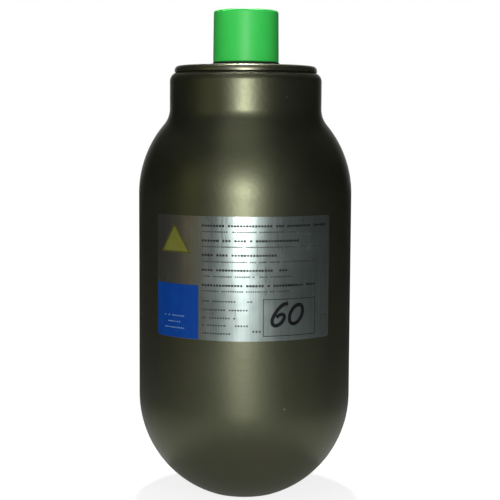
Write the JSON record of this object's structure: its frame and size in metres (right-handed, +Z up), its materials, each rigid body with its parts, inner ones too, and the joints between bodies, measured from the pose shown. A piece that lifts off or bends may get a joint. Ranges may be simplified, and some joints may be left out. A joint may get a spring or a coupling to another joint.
{
  "type": "bladder accumulator",
  "caption": "Upright hydraulic bladder accumulator: forged shell with domed ends, screwed closing plug, capped gas valve on top and a threaded fluid port in its flat base.",
  "frame": {"origin": "centre of the shell's flat base, where the accumulator stands", "axes": "+Z up the accumulator's axis, from the fluid port to the gas valve; -Y is the front, where the label is"},
  "size_m": [0.114, 0.1142, 0.2584],
  "materials": {
    "shell_paint": "satin",
    "plug_paint": "satin",
    "zinc_steel": "satin",
    "port_steel": "satin",
    "spring_steel": "gloss",
    "valve_brass": "satin",
    "green_plastic": "satin",
    "seal_rubber": "matte",
    "bladder_rubber": "matte",
    "backup_plastic": "matte",
    "label_foil": "satin"
  },
  "bodies": {
    "accumulator": {"shell": "shell_paint", "closing_plug": "plug_paint", "plug_o_ring": "seal_rubber", "plug_backup_ring": "backup_plastic", "bladder": "bladder_rubber", "bladder_stem": "zinc_steel", "stem_o_ring": "seal_rubber", "stem_washer": "zinc_steel", "stem_lock_nut": "zinc_steel", "gas_valve_body": "valve_brass", "gas_valve_o_ring": "seal_rubber", "valve_core_body": "valve_brass", "valve_core_spring": "spring_steel", "valve_sealing_cap": "valve_brass", "cap_gasket": "seal_rubber", "port_body": "port_steel", "port_o_ring": "seal_rubber", "port_backup_ring": "backup_plastic", "poppet_guide": "port_steel", "poppet_spring": "spring_steel", "label_foil": "label_foil"},
    "poppet": {"poppet": "port_steel", "poppet_stop_nut": "zinc_steel"},
    "valve_pin": {"valve_core_pin": "valve_brass", "valve_core_seal": "seal_rubber"},
    "cap": {"protective_cap": "green_plastic"}
  },
  "joints": [
    {"name": "cap_lift", "type": "slide", "parent": "accumulator", "child": "cap", "axis": [0, 0, 1], "range_m": [0, 0.035]},
    {"name": "poppet_slide", "type": "slide", "parent": "accumulator", "child": "poppet", "axis": [0, 0, 1], "range_m": [-0.006, 0], "stiffness_N_per_m": 2000, "springref_m": 0.004, "deforming": ["poppet_spring"]},
    {"name": "valve_pin_press", "type": "slide", "parent": "accumulator", "child": "valve_pin", "axis": [0, 0, 1], "range_m": [-0.0012, 0], "stiffness_N_per_m": 500, "springref_m": 0.003, "deforming": ["valve_core_spring"]}
  ]
}
